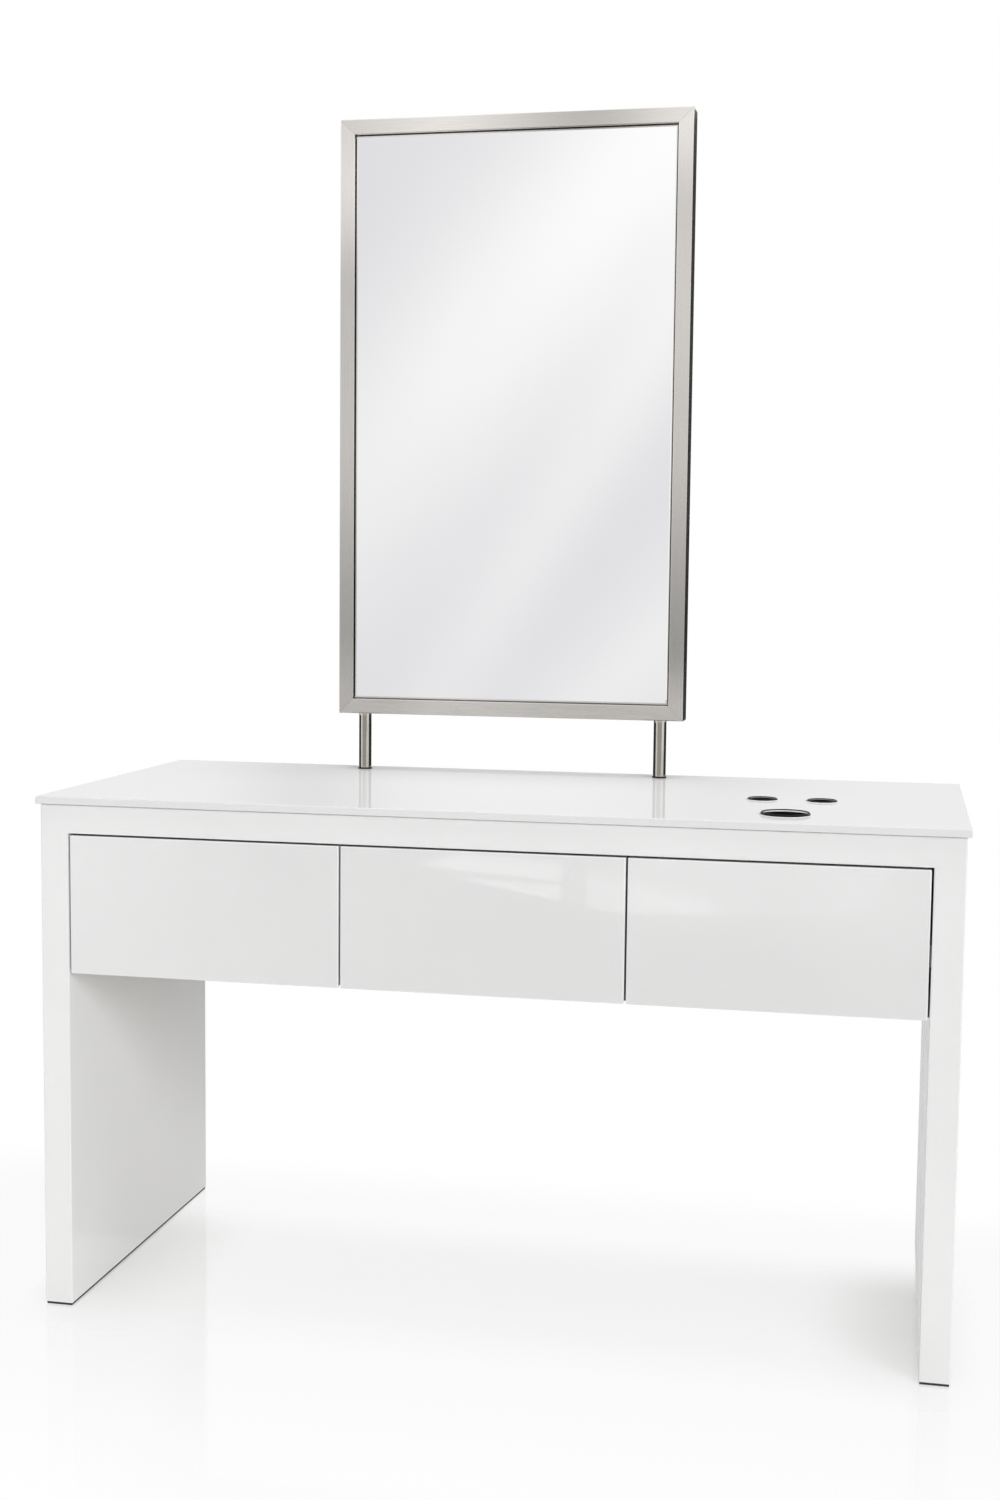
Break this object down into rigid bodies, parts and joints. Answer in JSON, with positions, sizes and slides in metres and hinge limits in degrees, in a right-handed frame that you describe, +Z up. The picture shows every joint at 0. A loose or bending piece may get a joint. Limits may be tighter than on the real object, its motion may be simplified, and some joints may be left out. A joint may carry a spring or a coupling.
{
  "type": "styling station",
  "caption": "Free-standing salon styling table with handleless drawers under a thin worktop, round tool holders and a tall framed mirror on posts.",
  "frame": {"origin": "on the floor under the middle of the worktop", "axes": "+Z up, -Y towards the person who sits at the station, +X to their right"},
  "size_m": [1.412, 0.612, 1.943],
  "materials": {
    "lacquer": "high gloss white lacquer",
    "worktop": "polished white solid surface",
    "board": "satin white melamine",
    "zinc": "zinc plated",
    "ball": "polished bearing steel",
    "steel": "brushed stainless",
    "mirror": "silvered float glass",
    "backing": "matt black board",
    "rubber": "matt black",
    "holder": "dark chrome"
  },
  "bodies": {
    "table": {"worktop": "worktop", "side_panel_left": "lacquer", "side_panel_right": "lacquer", "top_panel": "lacquer", "case_bottom": "lacquer", "case_back": "lacquer", "divider_left": "lacquer", "divider_right": "lacquer", "foot_strip_left": "rubber", "foot_strip_right": "rubber", "dryer_holder": "holder", "iron_holder_left": "holder", "iron_holder_right": "holder", "mirror_frame_bottom": "steel", "mirror_frame_right": "steel", "mirror_frame_top": "steel", "mirror_frame_left": "steel", "mirror_glass": "mirror", "mirror_backing": "backing", "mirror_post_left": "steel", "post_gasket_left": "rubber", "post_washer_left": "zinc", "post_nut_left": "zinc", "mirror_post_right": "steel", "post_gasket_right": "rubber", "post_washer_right": "zinc", "post_nut_right": "zinc", "left_drawer_left_cabinet_rail": "zinc", "left_drawer_right_cabinet_rail": "zinc", "middle_drawer_left_cabinet_rail": "zinc", "middle_drawer_right_cabinet_rail": "zinc", "right_drawer_left_cabinet_rail": "zinc", "right_drawer_right_cabinet_rail": "zinc"},
    "left_drawer": {"left_drawer_front": "lacquer", "left_drawer_side_left": "board", "left_drawer_side_right": "board", "left_drawer_back": "board", "left_drawer_bottom": "board", "left_drawer_left_drawer_rail": "zinc", "left_drawer_right_drawer_rail": "zinc"},
    "left_ball_cages": {"left_drawer_left_ball_cage": "ball", "left_drawer_right_ball_cage": "ball"},
    "middle_drawer": {"middle_drawer_front": "lacquer", "middle_drawer_side_left": "board", "middle_drawer_side_right": "board", "middle_drawer_back": "board", "middle_drawer_bottom": "board", "middle_drawer_left_drawer_rail": "zinc", "middle_drawer_right_drawer_rail": "zinc"},
    "middle_ball_cages": {"middle_drawer_left_ball_cage": "ball", "middle_drawer_right_ball_cage": "ball"},
    "right_drawer": {"right_drawer_front": "lacquer", "right_drawer_side_left": "board", "right_drawer_side_right": "board", "right_drawer_back": "board", "right_drawer_bottom": "board", "right_drawer_left_drawer_rail": "zinc", "right_drawer_right_drawer_rail": "zinc"},
    "right_ball_cages": {"right_drawer_left_ball_cage": "ball", "right_drawer_right_ball_cage": "ball"}
  },
  "joints": [
    {"name": "left_drawer_slide", "type": "slide", "parent": "table", "child": "left_drawer", "axis": [0, -1, 0], "range_m": [0, 0.36]},
    {"name": "middle_drawer_slide", "type": "slide", "parent": "table", "child": "middle_drawer", "axis": [0, -1, 0], "range_m": [0, 0.36]},
    {"name": "right_drawer_slide", "type": "slide", "parent": "table", "child": "right_drawer", "axis": [0, -1, 0], "range_m": [0, 0.36]},
    {"name": "left_ball_cage_slide", "type": "slide", "parent": "table", "child": "left_ball_cages", "axis": [0, -1, 0], "range_m": [0, 0.18]},
    {"name": "middle_ball_cage_slide", "type": "slide", "parent": "table", "child": "middle_ball_cages", "axis": [0, -1, 0], "range_m": [0, 0.18]},
    {"name": "right_ball_cage_slide", "type": "slide", "parent": "table", "child": "right_ball_cages", "axis": [0, -1, 0], "range_m": [0, 0.18]}
  ],
  "couplings": [
    {"joint": "left_ball_cage_slide", "follows": "left_drawer_slide", "ratio": 0.5},
    {"joint": "middle_ball_cage_slide", "follows": "middle_drawer_slide", "ratio": 0.5},
    {"joint": "right_ball_cage_slide", "follows": "right_drawer_slide", "ratio": 0.5}
  ]
}
